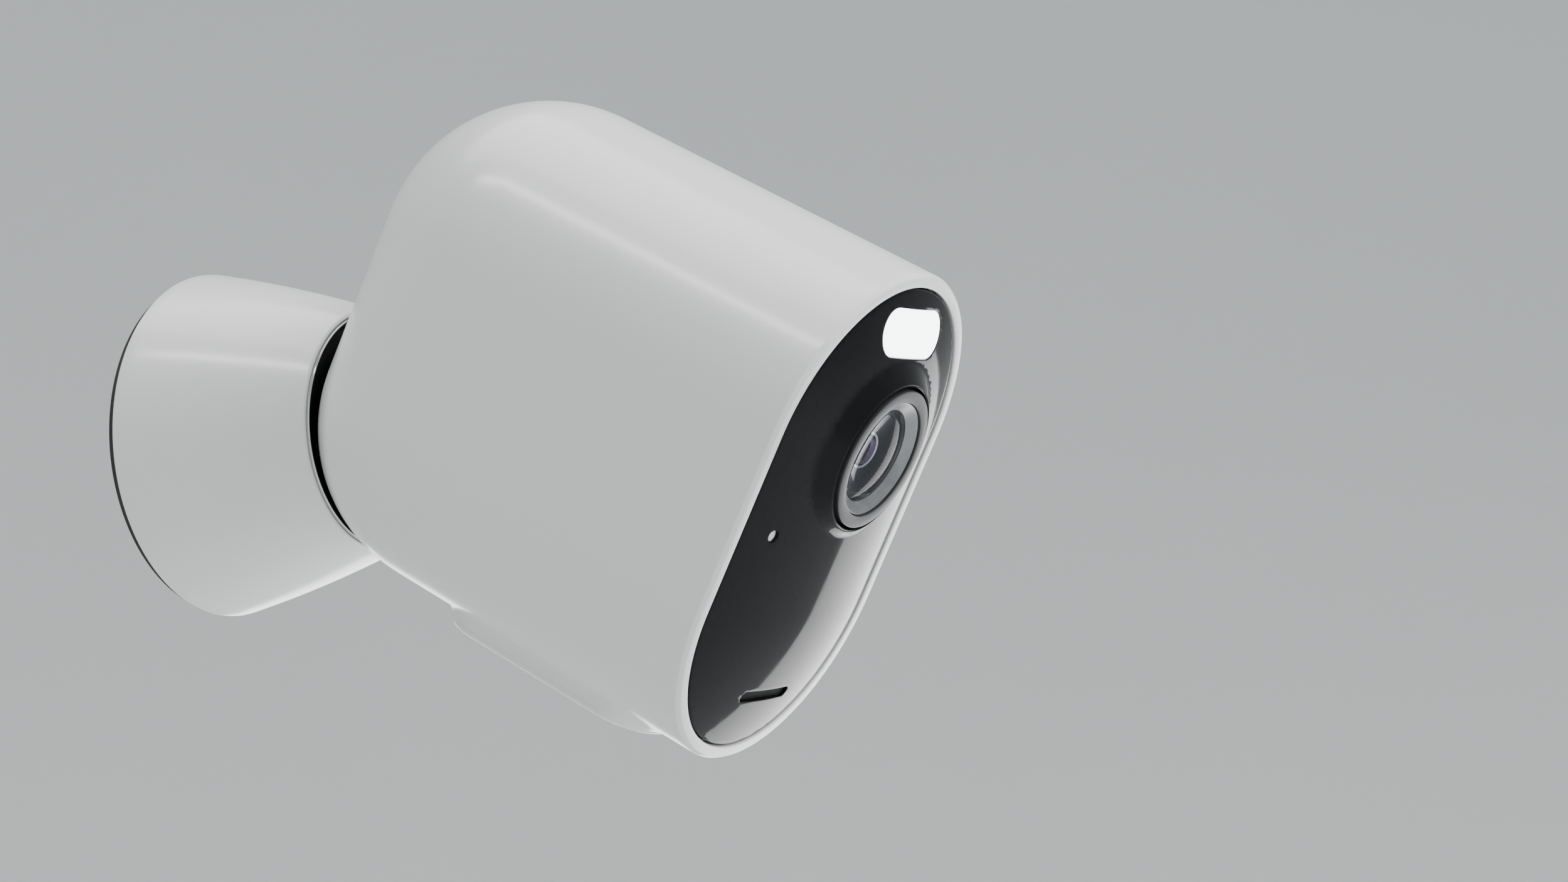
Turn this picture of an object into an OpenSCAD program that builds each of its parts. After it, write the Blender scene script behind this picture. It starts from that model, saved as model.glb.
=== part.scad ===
// Wall-mounted wire-free spotlight camera.
// A capsule-shaped housing rests its round lower back in the magnetic dish of a
// conical wall mount. A sealed module with the face, lens, light and battery
// slides out of the front of the housing.
//
// Frame: the mount's back face lies on the wall at y = 0, with z up.
// The camera reaches out towards -y, and its nose points down at rest.

/* [Camera housing] */
// Radius of the housing's round back, top and bottom.
ball_r = 26; // [25:0.5:27]
// Distance between the centres of the lower and the upper round end.
rise = 27.2; // [26:0.2:29]
// Depth from the rear of the housing to the front of the trim ring.
body_depth = 85.5; // [84:0.5:90]
// Thickness of the housing wall.
wall = 2.2; // [2:0.1:2.4]

/* [Face] */
// Height of the domed face above its own edge.
dome_rise = 3.7; // [3.2:0.1:4]
// Height of the lens axis above the centre of the lower round end.
lens_z = 25.9; // [25.5:0.1:27]
// Outer radius of the flat ring round the lens.
lens_ring_r = 11; // [10.5:0.1:11.2]
// Width of the spotlight window.
light_w = 18; // [16:0.5:19]
// Height of the spotlight window.
light_h = 7; // [6:0.5:7]

/* [Wall mount] */
// Radius of the mount where it meets the wall.
mount_r = 28; // [27:0.5:30]
// Radius of the mount at the mouth of the dish.
mouth_r = 19.4; // [19.2:0.1:20]
// Length of the mount from the wall to the mouth.
mount_len = 32.3; // [32:0.1:33]
// Distance between the two wall screw holes.
screw_spacing = 36; // [32:1:38]
// Radius of each wall screw hole.
screw_hole_r = 2.3; // [2:0.1:2.5]

/* [Rest pose] */
// Angle by which the camera looks down.
rest_tilt = 30; // [27:1:40]

/* [Hidden] */
$fn = 96;

// The centre of the round back, about which the camera swivels.
ball_gap = 20;
ball_y = mount_len + ball_gap;
ball_drop = 1.5;

// Forward distances are measured from the ball centre towards the face.
front = body_depth - ball_r;
trim_depth = 2.1;
shell_front = front - trim_depth;
inner_r = ball_r - wall;

// The face panel and its dome.
panel_gap = 0.3;
trim_inner_r = inner_r + 0.05;
panel_r = trim_inner_r - panel_gap;
panel_edge = front - 0.2;
panel_top = panel_edge + dome_rise;
panel_back = panel_edge - 3;
panel_skin = 2.4;
dome_r = (panel_r * panel_r + dome_rise * dome_rise) / (2 * dome_rise);

// The raised collar round the lens, and the parts that sit inside it.
collar_top = panel_top + 1;
collar_r = lens_ring_r + 0.6;
skirt_r = collar_r + 2.8;
skirt_low = panel_top - 1.4;
lens_well_r = lens_ring_r + 0.5;
lens_seat = panel_back + 3.7;
lens_front = collar_top + 0.3;
ring_wall = 1.9;
hood_r = lens_ring_r - ring_wall - 0.05;
glass_r = 7.3;
glass_curve_r = 19.7;
glass_apex = collar_top + 0.1;
glass_back = lens_seat + 1.2;
barrel_r = 7.25;
barrel_step = 56;
aperture_r = 2.4;
aperture_u = 59.7;
inner_lens_r = 6.05;
inner_curve_r = 12;

// The spotlight, low slot and small window on the face.
light_z = 44.4;
light_end_r = light_h / 2;
light_gap = light_w - light_h;
slot_z = -14;
slot_end_r = 0.9;
slot_gap = 12;
sensor_x = -17.3;
sensor_z = 12.4;
sensor_r = 0.9;

// The module inside the housing.
tray_r = inner_r - 1.2;
tray_wall = 1.4;
tray_back = 3;
board_r = 20.4;
board_t = 1.4;
main_board_u = 40;
front_board_u = 51.6;
front_board_t = 1.2;
front_face_u = front_board_u + front_board_t;
post_x = 15.5;
post_low_z = -4;
post_high_z = 32;
battery_r = 17.8;
battery_u = 5;
battery_len = 32.5;
battery_front = battery_u + battery_len;
battery_pin_pitch = 4;
speaker_z = -10.5;
speaker_r = 8;
speaker_back = 49;
lamp_chip_pitch = 3.6;
infrared_x = 16.5;
infrared_r = 1.5;
status_z = 13;
motion_z = 5.5;
seal_rear = 49.4;
seal_front = 51.5;

// The foot under the housing, with its button and charging port.
foot_r = 8.5;
foot_rear = 16.25;
foot_front = 40.5;
foot_bottom = -ball_r - 1.8;
foot_top = -inner_r + 0.4;
foot_round = 1.2;
release_u = 17;
release_r = 3.95;
flange_r = 4.8;
flange_low = foot_bottom + 3;
flange_high = foot_top + 0.1;
sync_u = 43.2;
sync_r = 1.7;
port_u = 30;
port_end_r = 2.5;
port_gap = 8;
port_pin_pitch = 2.4;
spring_low = -22.1;
spring_high = -20.2;
spring_leaf = 0.25;
bracket_top = -19.2;
latch_top = -19.8;
notch_half = 6.6;
notch_front = 29;
notch_top = -18.2;

// The mount's dish.
dish_r = 30.25;
dish_centre = ball_y + sqrt(pow(dish_r - ball_r - 0.25, 2) - pow(ball_drop, 2));
pad_t = 1.2;
pad_r = 16.8;
cup_r = mouth_r - 0.7;
cup_back = 22.5;
cup_mouth = cup_r - 0.25;
magnet_r = 13;
magnet_t = 4.6;
yoke_r = 14.5;
yoke_t = 1.5;
core_r = 9;
core_hole_r = 2.1;
cup_screw_back = 2.6;
plate_back = 1;
plate_front = 3.6;
cover_back = 1.2;
cover_wall = 2;
cover_bulge = 0.5;

// Which piece to draw: all, or one name from the list above.

white = [0.93, 0.93, 0.92];
black = [0.05, 0.05, 0.055];
dark = [0.14, 0.14, 0.15];
steel = [0.62, 0.63, 0.65];
green = [0.06, 0.28, 0.16];
gold = [0.83, 0.66, 0.3];
clear = [0.75, 0.85, 0.95];

// ---------- shared shapes ----------

// Turns a half profile into a long rounded body: x is the distance out, y the height.
// The two round ends are centred at y = 0 and y = gap.
module pill(gap) {
    rotate([0, 0, 180]) rotate_extrude(angle = 180) children();
    translate([0, gap, 0]) rotate_extrude(angle = 180) children();
    translate([0, gap, 0]) rotate([90, 0, 0]) linear_extrude(gap) {
        children();
        mirror([1, 0]) children();
    }
}

// Places camera parts: ball centre on the dish, nose turned down.
module aimed() {
    translate([0, -ball_y, -ball_drop]) rotate([rest_tilt, 0, 0]) children();
}

// The upright outline of the housing: x is the distance out, y the distance forward.
module capsule() {
    aimed() rotate([90, 0, 0]) pill(rise) children();
}

// Turned parts on an axis that runs forward through the camera at (x, z).
module spun(x, z) {
    aimed() translate([x, 0, z]) rotate([90, 0, 0]) rotate_extrude() children();
}

// A long rounded part that lies across the camera at height z.
module across(gap, z) {
    aimed() translate([gap / 2, 0, z]) rotate([90, 0, 0]) rotate([0, 0, 90]) pill(gap) children();
}

// A block given by its middle, its sizes and the forward distance of its back.
module block(x, z, w, h, u, d) {
    aimed() translate([x - w / 2, -u - d, z - h / 2]) cube([w, d, h]);
}

// Turned parts of the mount: x is the radius, y the distance from the wall.
module turned() {
    rotate([90, 0, 0]) rotate_extrude() children();
}

// A rectangle given by two radii and two heights.
module band(r1, r2, h1, h2) {
    translate([r1, h1]) square([r2 - r1, h2 - h1]);
}

// Half of the outline of a capsule with a round back.
module round_back(r, to) {
    intersection() {
        circle(r);
        band(0, r, -r, 0);
    }
    band(0, r, 0, to);
}

// Half of the outline of the domed face, lowered by inset.
module dome(r, from, inset) {
    intersection() {
        band(0, r, from, panel_top + 1);
        translate([0, panel_top - dome_r]) circle(dome_r - inset, $fn = 360);
    }
}

// ---------- wall mount ----------

// One of the two holes for the wall screws, side -1 below and 1 above.
module screw_drill(side, r) {
    translate([0, 1, side * screw_spacing / 2]) rotate([90, 0, 0]) cylinder(h = 8, r = r);
}

// A drilled disc that evens out the wall and leaves a dark gap under the cover.
module wall_pad() {
    color(dark) difference() {
        turned() band(0, mount_r - 0.8, 0, plate_back);
        for (side = [-1, 1])
            screw_drill(side, screw_hole_r + 0.7);
    }
}

module base_plate() {
    color(dark) difference() {
        turned() {
            band(0, mount_r - 3, plate_back, plate_front);
            band(0, core_r, plate_front, cup_back - magnet_t - yoke_t);
        }
        for (side = [-1, 1])
            screw_drill(side, screw_hole_r);
        turned() band(0, core_hole_r, 0, 20);
        turned() band(0, 3.8, 0, 5);
    }
}

// The outside of the cover bulges a little between the wall and the mouth.
module cone_cover() {
    run = [mouth_r - mount_r, mount_len - 0.4 - cover_back];
    chord = norm(run);
    bow_r = (chord * chord / 4 + cover_bulge * cover_bulge) / (2 * cover_bulge);
    middle = [(mouth_r + mount_r) / 2, (mount_len - 0.4 + cover_back) / 2];
    centre = middle + [-run.y, run.x] / chord * (bow_r - cover_bulge);
    color(white) turned() difference() {
        intersection() {
            translate(centre) circle(bow_r, $fn = 720);
            band(14, mount_r + 2, cover_back, mount_len - 0.4);
        }
        difference() {
            translate(centre) circle(bow_r - cover_wall, $fn = 720);
            band(0, mount_r, cup_back, mount_len);
        }
        band(0, cup_r + 0.05, cup_back - 1, mount_len);
    }
}

module dish_cup() {
    color(steel) turned() difference() {
        band(0, cup_r, cup_back, mount_len);
        translate([0, dish_centre]) circle(dish_r + pad_t, $fn = 360);
        polygon([[0, 29.9], [cup_mouth - 0.9, 29.9], [cup_mouth, mount_len + 0.01], [0, mount_len + 0.01]]);
    }
}

module grip_pad() {
    color(black) turned() intersection() {
        difference() {
            translate([0, dish_centre]) circle(dish_r + pad_t, $fn = 360);
            translate([0, dish_centre]) circle(dish_r, $fn = 360);
        }
        band(0, pad_r, cup_back, mount_len);
    }
}

module magnet() {
    color(steel) turned() band(0, magnet_r, cup_back - magnet_t, cup_back);
}

module magnet_yoke() {
    color(steel) turned() band(core_hole_r, yoke_r, cup_back - magnet_t - yoke_t, cup_back - magnet_t);
}

module cup_screw() {
    color(steel) turned() {
        band(0, core_hole_r - 0.1, cup_screw_back, cup_back - magnet_t);
        band(0, 3.6, cup_screw_back, cup_screw_back + 2.4);
    }
}

// ---------- steel inside the round back ----------

module ball_cap(outer, inner, hole, reach) {
    translate([0, -ball_y, -ball_drop]) rotate([-90, 0, 0]) rotate_extrude() intersection() {
        difference() {
            circle(outer);
            circle(inner);
        }
        band(hole, reach, 0, outer);
    }
}

module striker_plate() {
    color(steel) ball_cap(inner_r - 0.4, inner_r - 1.6, 0, 9.8);
}

module striker_bracket() {
    color(dark) ball_cap(inner_r - 1.9, inner_r - 3.4, 3, 8.2);
}

// ---------- housing ----------

// The opening or the outline of the foot, as a half profile in radius and height.
module foot_column(r, low, high) {
    aimed() translate([0, -foot_front, 0]) pill(foot_front - foot_rear) band(0, r, low, high);
}

// A pin that stands up through the foot at forward distance u.
module stem(u, r, low, high) {
    aimed() translate([0, -u, low]) cylinder(h = high - low, r = r);
}

module housing_shell() {
    color(white) difference() {
        capsule() difference() {
            round_back(ball_r, shell_front);
            round_back(inner_r, shell_front + 1);
        }
        foot_column(foot_r + 0.05, foot_bottom - 1, -18);
    }
}

module trim_ring() {
    color(white) capsule() polygon([
        [trim_inner_r, shell_front], [ball_r, shell_front], [ball_r, front - 0.7], [ball_r - 0.45, front],
        [trim_inner_r + 0.2, front], [trim_inner_r, front - 0.3]
    ]);
}

module port_pocket(r, low, high) {
    aimed() translate([0, -port_u, 0]) rotate([0, 0, 90]) translate([0, -port_gap / 2, 0])
        pill(port_gap) band(0, r, low, high);
}

module foot_pad() {
    color(white) difference() {
        aimed() translate([0, -foot_front, 0]) pill(foot_front - foot_rear) {
            band(0, foot_r, foot_bottom + foot_round, foot_top);
            band(0, foot_r - foot_round, foot_bottom, foot_bottom + foot_round);
            intersection() {
                translate([foot_r - foot_round, foot_bottom + foot_round]) circle(foot_round);
                band(foot_r - foot_round, foot_r, foot_bottom, foot_bottom + foot_round);
            }
        }
        stem(release_u, release_r + 0.1, foot_bottom - 1, foot_top + 1);
        stem(release_u, flange_r + 0.2, flange_low - 0.05, foot_top + 1);
        stem(sync_u, sync_r + 0.1, foot_bottom - 1, foot_top + 1);
        stem(sync_u, sync_r + 0.9, foot_bottom + 2.6, foot_top + 1);
        port_pocket(port_end_r + 0.05, foot_bottom - 1, foot_top + 1);
    }
}

module latch_bracket() {
    color(dark) difference() {
        block(0, (foot_top + bracket_top) / 2, 11.6, bracket_top - foot_top, 10.6, 12);
        stem(release_u, flange_r + 0.2, foot_top - 1, -20.2);
        block(0, (foot_top - 21.2) / 2, 4.8, -21.2 - foot_top + 0.01, 20, 4);
    }
}

// Two thin cone washers, mouth to mouth, that push the button back down.
module release_spring() {
    mid = (spring_low + spring_high) / 2;
    color(steel) aimed() translate([0, -release_u, 0]) rotate_extrude() polygon([
        [3.7, spring_low], [3.7, spring_low + spring_leaf], [1.9, mid], [3.7, spring_high - spring_leaf],
        [3.7, spring_high], [1.5, mid + 0.1], [1.5, mid - 0.1]
    ]);
}

module charge_port() {
    color(black) port_pocket(port_end_r, foot_bottom + 0.8, foot_top);
}

module charge_contacts() {
    color(gold) for (i = [-1.5:1:1.5])
        aimed() translate([i * port_pin_pitch, -port_u, foot_bottom + 0.4]) cylinder(h = 0.4, r = 0.7);
}

// ---------- buttons under the foot ----------

module release_button() {
    color(dark) {
        stem(release_u, release_r, foot_bottom + 0.1, flange_low);
        stem(release_u, flange_r, flange_low, flange_high);
    }
}

module release_latch() {
    tongue_back = release_u + 3.9;
    hook_u = notch_front - 2.7;
    color(steel) {
        block(0, flange_high + 0.4, 4, 0.8, tongue_back, hook_u + 1.2 - tongue_back);
        block(0, (flange_high + latch_top) / 2, 4, latch_top - flange_high, hook_u, 1.2);
    }
}

module sync_button() {
    color(dark) {
        stem(sync_u, sync_r, foot_bottom + 0.2, foot_bottom + 2.7);
        stem(sync_u, sync_r + 0.7, foot_bottom + 2.7, foot_bottom + 3.5);
        stem(sync_u, 1.2, foot_bottom + 3.5, foot_bottom + 4.6);
    }
}

// ---------- removable module ----------

module module_tray() {
    color(dark) difference() {
        capsule() {
            band(tray_r - tray_wall, tray_r, tray_back, panel_back);
            band(0, tray_r, tray_back, tray_back + tray_wall);
            band(board_r - 0.5, tray_r - tray_wall, main_board_u - 1.6, main_board_u);
        }
        block(0, notch_top - 4, 2 * notch_half, 8, tray_back - 1, notch_front - tray_back + 1);
        block(0, -tray_r, 6, 2 * tray_wall + 0.6, main_board_u, 5.5);
    }
}

module module_gasket() {
    color(black) capsule() band(tray_r + 0.02, inner_r - 0.3, seal_rear, seal_front);
}

module face_panel() {
    color(black) difference() {
        union() {
            capsule() difference() {
                dome(panel_r, panel_back, 0);
                dome(panel_r - 2.2, panel_back - 1, panel_skin);
            }
            spun(0, lens_z) {
                band(0, lens_well_r + 1.3, panel_back + 1, panel_top - 1.2);
                polygon([
                    [0, skirt_low - 0.1], [skirt_r, skirt_low - 0.1], [skirt_r, skirt_low],
                    [collar_r + 0.15, collar_top - 0.15], [collar_r - 0.05, collar_top], [0, collar_top]
                ]);
            }
        }
        spun(0, lens_z) band(0, lens_well_r, lens_seat, collar_top + 1);
        spun(0, lens_z) band(0, lens_well_r - 2.9, panel_back, lens_seat + 1);
        across(light_gap, light_z) band(0, light_end_r + 0.05, panel_back - 1, panel_top);
        across(slot_gap, slot_z) band(0, slot_end_r, panel_back - 1, panel_top + 1);
        spun(sensor_x, sensor_z) band(0, sensor_r + 0.05, panel_back - 1, panel_top + 1);
    }
}

module lens_trim_ring() {
    color(dark) spun(0, lens_z) {
        band(hood_r + 0.05, lens_well_r - 0.05, lens_seat, lens_seat + 1);
        polygon([
            [hood_r + 0.05, lens_seat + 1], [lens_ring_r, lens_seat + 1], [lens_ring_r, lens_front - 0.3],
            [lens_ring_r - 0.3, lens_front], [hood_r + 0.2, lens_front], [hood_r + 0.05, lens_front - 0.15]
        ]);
    }
}

module lens_hood_ring() {
    color(dark) spun(0, lens_z) polygon([
        [glass_r + 0.05, lens_seat], [hood_r, lens_seat], [hood_r, lens_front - 0.35],
        [hood_r - 0.2, lens_front - 0.35], [glass_r + 0.05, lens_front - 1.5]
    ]);
}

module lens_front_glass() {
    color(clear) spun(0, lens_z) intersection() {
        band(0, glass_r, glass_back, glass_apex + 1);
        translate([0, glass_apex - glass_curve_r]) circle(glass_curve_r, $fn = 180);
    }
}

module lens_barrel() {
    color(black) spun(0, lens_z) {
        band(inner_lens_r + 0.05, barrel_r, barrel_step, glass_back);
        band(4.6, barrel_r, 50.5, barrel_step);
    }
}

module lens_aperture_ring() {
    color(steel) spun(0, lens_z) polygon([
        [aperture_r, aperture_u], [inner_lens_r, aperture_u + 0.7], [inner_lens_r, aperture_u + 1.3],
        [aperture_r, aperture_u + 0.5]
    ]);
}

module lens_inner_element() {
    color(clear) spun(0, lens_z) intersection() {
        band(0, inner_lens_r, barrel_step, aperture_u);
        translate([0, aperture_u - 0.1 - inner_curve_r]) circle(inner_curve_r);
    }
}

module lens_rear_element() {
    color(clear) spun(0, lens_z) band(0, 4.55, 51, 52.5);
}

module lens_holder() {
    color(black) difference() {
        block(0, lens_z, 17, 17, 42.6, 7.9);
        spun(0, lens_z) band(0, 6, 42, 51);
    }
}

module sensor_board() {
    color(green) block(0, lens_z, 18, 18, main_board_u + board_t, 1.2);
}

module image_sensor() {
    color(dark) block(0, lens_z, 8, 6, 42.6, 0.9);
}

module spotlight_window() {
    color([0.97, 0.98, 1]) intersection() {
        across(light_gap, light_z) band(0, light_end_r, panel_back + 2, panel_top);
        capsule() dome(panel_r, panel_back - 1, 0.05);
    }
}

module spotlight_reflector() {
    back = front_face_u + 1;
    tip = panel_back + 1.2;
    color(white) across(light_gap, light_z)
        polygon([[2, back], [2.5, back], [3, tip], [2.5, tip]]);
}

module spotlight_board() {
    color(steel) block(0, light_z, 16.4, 4.2, front_face_u, 1);
}

module spotlight_leds() {
    color([0.95, 0.85, 0.35]) for (i = [-1.5:1:1.5])
        block(i * lamp_chip_pitch, light_z, 2.2, 2.2, front_face_u + 1, 0.7);
}

module slot_mesh() {
    color(dark) across(slot_gap, slot_z) band(0, slot_end_r - 0.02, panel_top - 3.2, panel_top - 2.2);
}

module light_sensor_window() {
    color(clear) spun(sensor_x, sensor_z) band(0, sensor_r, panel_top - 4.6, panel_top - 2.15);
}

module light_sensor() {
    color(dark) block(sensor_x, sensor_z, 2, 2, front_face_u, 0.8);
}

module infrared_leds() {
    color(clear) for (side = [-1, 1])
        spun(side * infrared_x, lens_z) {
            band(0, infrared_r, front_face_u, front_face_u + 1.6);
            intersection() {
                translate([0, front_face_u + 1.6]) circle(infrared_r);
                band(0, infrared_r, front_face_u + 1.6, front_face_u + 3.2);
            }
        }
}

module status_led() {
    color(white) spun(0, status_z) band(0, 0.9, front_face_u, front_face_u + 1.4);
}

module motion_sensor() {
    color(steel) spun(0, motion_z) {
        band(0, 4.4, front_face_u, front_face_u + 0.6);
        band(0, 4, front_face_u + 0.6, front_face_u + 3);
    }
}

module speaker() {
    color(dark) spun(0, speaker_z) difference() {
        union() {
            band(0, speaker_r, speaker_back, speaker_back + 6.4);
            band(0, speaker_r + 0.9, front_face_u, front_face_u + 0.8);
        }
        polygon([
            [2.6, speaker_back + 3.5], [speaker_r - 1.2, speaker_back + 6.41],
            [0, speaker_back + 6.41], [0, speaker_back + 3.5]
        ]);
    }
}

module microphone() {
    color(steel) block(12.2, -9, 3.8, 2.6, front_face_u, 1.1);
}

module front_board() {
    color(green) difference() {
        capsule() band(0, board_r, front_board_u, front_face_u);
        spun(0, lens_z) band(0, barrel_r + 0.35, front_board_u - 1, front_face_u + 1);
        spun(0, speaker_z) band(0, speaker_r + 0.3, front_board_u - 1, front_face_u + 1);
        for (side = [-1, 1])
            for (z = [post_low_z, post_high_z])
                spun(side * post_x, z) band(0, 1.1, front_board_u - 1, front_face_u + 1);
    }
}

module board_posts() {
    color(dark) for (side = [-1, 1])
        for (z = [post_low_z, post_high_z])
            spun(side * post_x, z) {
                band(0, 2, main_board_u + board_t, 46);
                band(1, 2, 46, front_board_u);
            }
}

module board_screws() {
    color(steel) for (side = [-1, 1])
        for (z = [post_low_z, post_high_z])
            spun(side * post_x, z) {
                band(0, 0.95, 46.2, front_face_u);
                band(0, 1.9, front_face_u, front_face_u + 1.2);
            }
}

module main_board() {
    color(green) capsule() band(0, board_r, main_board_u, main_board_u + board_t);
}

module processor_shield() {
    color(steel) block(0, 6, 16, 14, main_board_u + board_t, 2.2);
}

module radio_shield() {
    color(steel) block(0, -11.5, 13, 10, main_board_u + board_t, 1.9);
}

module wifi_antenna() {
    color(gold) block(0, 43.3, 18, 0.5, main_board_u + board_t, 7);
}

module sync_switch() {
    color(dark) block(0, -board_r - 1, 4.4, 2, main_board_u + 0.8, 4);
}

module battery_contacts() {
    color(gold) for (i = [-1.5:1:1.5])
        block(i * battery_pin_pitch, 30, 1.2, 3, battery_front, main_board_u - battery_front);
}

module battery_pack() {
    edge = 1.2;
    color(dark) capsule() polygon([
        [0, battery_u], [battery_r - edge, battery_u], [battery_r, battery_u + edge],
        [battery_r, battery_front - edge], [battery_r - edge, battery_front], [0, battery_front]
    ]);
}

// ---------- drawing ----------

wall_pad();
base_plate();
cone_cover();
dish_cup();
grip_pad();
magnet();
magnet_yoke();
cup_screw();
striker_plate();
striker_bracket();
housing_shell();
trim_ring();
foot_pad();
latch_bracket();
release_spring();
charge_port();
charge_contacts();
release_button();
release_latch();
sync_button();
module_tray();
module_gasket();
face_panel();
lens_trim_ring();
lens_hood_ring();
lens_front_glass();
lens_barrel();
lens_aperture_ring();
lens_inner_element();
lens_rear_element();
lens_holder();
sensor_board();
image_sensor();
spotlight_window();
spotlight_reflector();
spotlight_board();
spotlight_leds();
slot_mesh();
light_sensor_window();
light_sensor();
infrared_leds();
status_led();
motion_sensor();
speaker();
microphone();
front_board();
board_posts();
board_screws();
main_board();
processor_shield();
radio_shield();
wifi_antenna();
sync_switch();
battery_contacts();
battery_pack();
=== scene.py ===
# %% [markdown]
# # A wire-free spotlight camera on its wall mount
# The camera is a white capsule with a glossy black face. Its round lower back rests in the magnetic
# dish of a small cone that is screwed to the wall. The frame brings in every part from the CAD model
# at its true size. This lesson gives the parts in view softer edges and all of them a real finish.

# %% Load the frame
import math

import bmesh
import bpy
from mathutils import Matrix, Vector


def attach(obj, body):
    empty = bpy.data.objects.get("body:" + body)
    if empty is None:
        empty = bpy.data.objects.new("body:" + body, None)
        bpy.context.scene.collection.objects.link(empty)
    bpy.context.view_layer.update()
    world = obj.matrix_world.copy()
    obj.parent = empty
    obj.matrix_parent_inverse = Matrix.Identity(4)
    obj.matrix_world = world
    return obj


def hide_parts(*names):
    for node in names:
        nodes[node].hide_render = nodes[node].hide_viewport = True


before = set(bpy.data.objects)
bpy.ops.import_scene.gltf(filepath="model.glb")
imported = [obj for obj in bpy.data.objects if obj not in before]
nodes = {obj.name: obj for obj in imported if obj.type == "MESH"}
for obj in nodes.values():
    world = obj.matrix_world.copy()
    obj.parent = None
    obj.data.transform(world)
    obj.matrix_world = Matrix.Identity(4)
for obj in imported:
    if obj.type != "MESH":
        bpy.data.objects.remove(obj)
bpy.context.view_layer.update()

# %% [markdown]
# ## Two places to build in
# The camera is drawn upright in millimetres, with the middle of its round back at the origin and its
# nose towards -y. One matrix then turns its nose down and moves it to the mount. The mount is drawn
# where it stands. Working this way keeps every number one that could be read off a ruler.

# %% Places
MM = 0.001
NOSE_DOWN = math.radians(30)
BALL = Vector((0, -52.3, -1.5)) * MM
camera_place = Matrix.Translation(BALL) @ Matrix.Rotation(NOSE_DOWN, 4, "X") @ Matrix.Scale(MM, 4)
mount_place = Matrix.Scale(MM, 4)


def facing_down(forward):
    """A place for a turned part that points out of the camera's underside."""
    return camera_place @ Matrix.Translation((0, -forward, 0)) @ Matrix.Rotation(math.pi / 2, 4, "X")


print("ball centre:", [round(v, 4) for v in BALL])

# %% [markdown]
# ## Finishes
# A finish is a small network of nodes. Writing the arithmetic as Python keeps it readable, so a Wire
# stands for one output in the network, and + - * / on it add the Math nodes. Every pattern is
# measured in metres on the object, so the grain has the same size on every piece.


# %% Wires and finishes
class Wire:
    """One output in a finish, with Python's own arithmetic."""

    def __init__(self, finish, socket):
        self.finish, self.socket = finish, socket

    def maths(self, operation, first, second=0.0):
        return self.finish.node("Math", {"operation": operation}, {0: first, 1: second})

    def __add__(self, other):
        return self.maths("ADD", self, other)

    def __sub__(self, other):
        return self.maths("SUBTRACT", self, other)

    def __rsub__(self, other):
        return self.maths("SUBTRACT", other, self)

    def __mul__(self, other):
        return self.maths("MULTIPLY", self, other)

    def __truediv__(self, other):
        return self.maths("DIVIDE", self, other)

    def sine(self):
        return self.maths("SINE", self)

    def above(self, level):
        return self.maths("GREATER_THAN", self, level)

    __radd__ = __add__
    __rmul__ = __mul__


class Finish:
    """A material whose nodes are added one at a time."""

    def __init__(self, name):
        self.material = bpy.data.materials.new(name)
        self.material.use_nodes = True
        self.tree = self.material.node_tree
        self.tree.nodes.clear()
        self.out = self.tree.nodes.new("ShaderNodeOutputMaterial")

    def node(self, kind, settings=None, inputs=None, output=0):
        made = self.tree.nodes.new("ShaderNode" + kind)
        for key, value in (settings or {}).items():
            if key == "stops":
                for n, (place, level) in enumerate(value):
                    ramp = made.color_ramp.elements
                    stop = ramp[n] if n < 2 else ramp.new(place)
                    stop.position, stop.color = place, (level, level, level, 1)
            else:
                setattr(made, key, value)
        for key, value in (inputs or {}).items():
            if isinstance(value, Wire):
                self.tree.links.new(value.socket, made.inputs[key])
            else:
                made.inputs[key].default_value = value
        return Wire(self, made.outputs[output])

    def place(self, centre=(0, 0, 0), turn=(0, 0, 0)):
        """Positions on the object in metres, measured from a centre along turned axes."""
        seen = self.node("TexCoord", output="Object")
        return self.node("Mapping", {"vector_type": "TEXTURE"},
                         {"Vector": seen, "Location": centre, "Rotation": turn})

    def across_and_up(self, seen):
        """Two of a place's three numbers. The third runs along the axis of the part."""
        return [self.node("SeparateXYZ", None, {0: seen}, output=letter) for letter in "XZ"]

    def from_axis(self, seen):
        """How far a place lies from the axis of the part."""
        x, z = self.across_and_up(seen)
        return self.node("Math", {"operation": "SQRT"}, {0: x * x + z * z})

    def noise(self, scale, detail=2.0, where=None, stretch=(1, 1, 1)):
        where = where or self.place()
        drawn = self.node("Mapping", None, {"Vector": where, "Scale": stretch})
        return self.node("TexNoise", None, {"Vector": drawn, "Scale": scale, "Detail": detail})

    def colour_mix(self, amount, first, second):
        return self.node("Mix", {"data_type": "RGBA"}, {0: amount, 6: first, 7: second}, output=2)

    def bump(self, height, strength, depth_mm, under=None):
        inputs = {"Height": height, "Strength": strength, "Distance": depth_mm * MM}
        if under:
            inputs["Normal"] = under
        return self.node("Bump", None, inputs)

    def surface(self, **inputs):
        named = {key.replace("_", " "): value for key, value in inputs.items()}
        shader = self.node("BsdfPrincipled", None, named)
        self.tree.links.new(shader.socket, self.out.inputs["Surface"])
        return self.material


def tone(red, green=None, blue=None):
    return (red, red if green is None else green, red if blue is None else blue, 1)


print("finish kit ready")

# %% [markdown]
# ## Moulded plastic, rubber and paint
# Moulded plastic is never one flat colour. The mould leaves a fine grain, the gloss drifts a little
# from place to place, and handling leaves faint smears. One recipe with three sizes of noise covers
# every plastic, rubber and painted part, with the amounts set for each.


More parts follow.
